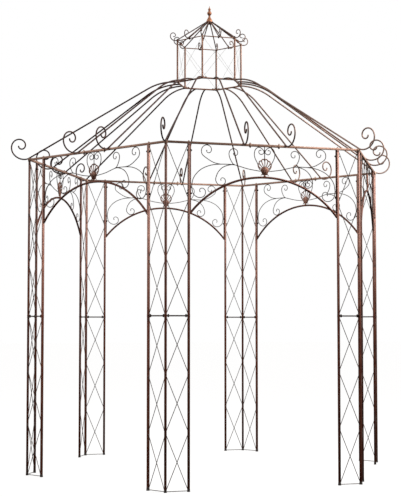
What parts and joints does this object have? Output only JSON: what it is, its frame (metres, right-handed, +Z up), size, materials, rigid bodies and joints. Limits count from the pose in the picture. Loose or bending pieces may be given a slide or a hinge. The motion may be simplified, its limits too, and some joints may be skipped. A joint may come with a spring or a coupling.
{
  "type": "hexagonal metal garden gazebo frame",
  "caption": "Open hexagonal garden gazebo of welded steel tube and wire, with lattice pillars, arched scrollwork doorways, curled roof rafters and a small lantern with a finial.",
  "frame": {"origin": "on the ground at the centre of the hexagon", "axes": "+Z up; -Y out through the front doorway; two opposite corner pillars lie on the X axis"},
  "size_m": [3.3004, 2.9072, 3.829],
  "materials": {
    "upright_paint": "satin antique brown powder coat",
    "lattice_paint": "satin antique brown powder coat",
    "beam_paint": "satin antique brown powder coat",
    "arch_paint": "satin antique brown powder coat",
    "scroll_paint": "satin antique brown powder coat",
    "rafter_paint": "satin antique brown powder coat",
    "lantern_paint": "satin antique brown powder coat",
    "finial_paint": "satin antique brown powder coat"
  },
  "bodies": {
    "root": {"front_left_pillar_posts": "upright_paint", "front_right_pillar_posts": "upright_paint", "right_pillar_posts": "upright_paint", "rear_right_pillar_posts": "upright_paint", "rear_left_pillar_posts": "upright_paint", "left_pillar_posts": "upright_paint", "front_left_pillar_lattice": "lattice_paint", "front_right_pillar_lattice": "lattice_paint", "right_pillar_lattice": "lattice_paint", "rear_right_pillar_lattice": "lattice_paint", "rear_left_pillar_lattice": "lattice_paint", "left_pillar_lattice": "lattice_paint", "front_eave_beam": "beam_paint", "right_front_eave_beam": "beam_paint", "right_rear_eave_beam": "beam_paint", "rear_eave_beam": "beam_paint", "left_rear_eave_beam": "beam_paint", "left_front_eave_beam": "beam_paint", "front_arch": "arch_paint", "right_front_arch": "arch_paint", "right_rear_arch": "arch_paint", "rear_arch": "arch_paint", "left_rear_arch": "arch_paint", "left_front_arch": "arch_paint", "front_scrollwork": "scroll_paint", "right_front_scrollwork": "scroll_paint", "right_rear_scrollwork": "scroll_paint", "rear_scrollwork": "scroll_paint", "left_rear_scrollwork": "scroll_paint", "left_front_scrollwork": "scroll_paint", "front_left_corner_rafter": "rafter_paint", "front_right_corner_rafter": "rafter_paint", "right_corner_rafter": "rafter_paint", "rear_right_corner_rafter": "rafter_paint", "rear_left_corner_rafter": "rafter_paint", "left_corner_rafter": "rafter_paint", "front_rafters": "rafter_paint", "right_front_rafters": "rafter_paint", "right_rear_rafters": "rafter_paint", "rear_rafters": "rafter_paint", "left_rear_rafters": "rafter_paint", "left_front_rafters": "rafter_paint", "lantern_base_ring": "lantern_paint", "lantern_posts": "lantern_paint", "lantern_top_ring": "lantern_paint", "lantern_rafters": "rafter_paint", "finial": "finial_paint"}
  },
  "joints": []
}
